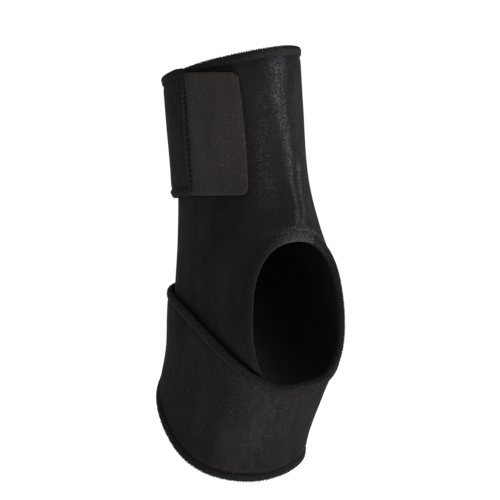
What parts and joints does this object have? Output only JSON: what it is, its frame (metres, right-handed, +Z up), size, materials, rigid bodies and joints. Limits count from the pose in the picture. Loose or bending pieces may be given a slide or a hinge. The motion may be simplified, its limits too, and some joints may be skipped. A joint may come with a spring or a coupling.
{
  "type": "ankle brace",
  "caption": "Open-heel ankle brace: a padded leg wrap closed by a strap with a hook tab, over which a band crosses the instep and passes under the arch.",
  "frame": {"origin": "on the leg's axis at the ankle, where the brace sits on a leg", "axes": "+Z up along the leg, +Y toward the toes, -X the side that the hook tab is on"},
  "size_m": [0.0908, 0.1176, 0.2492],
  "materials": {
    "loop_cloth": "matt black looped pile",
    "hem_cloth": "matt black rolled edge",
    "hook_tape": "matt brown-black"
  },
  "bodies": {
    "root": {"leg_panel": "loop_cloth", "closure_strap": "loop_cloth", "hook_tab": "hook_tape", "foot_band": "loop_cloth", "top_hem": "hem_cloth", "front_hem": "hem_cloth", "heel_hem": "hem_cloth", "instep_hem": "hem_cloth", "toe_hem": "hem_cloth"}
  },
  "joints": []
}
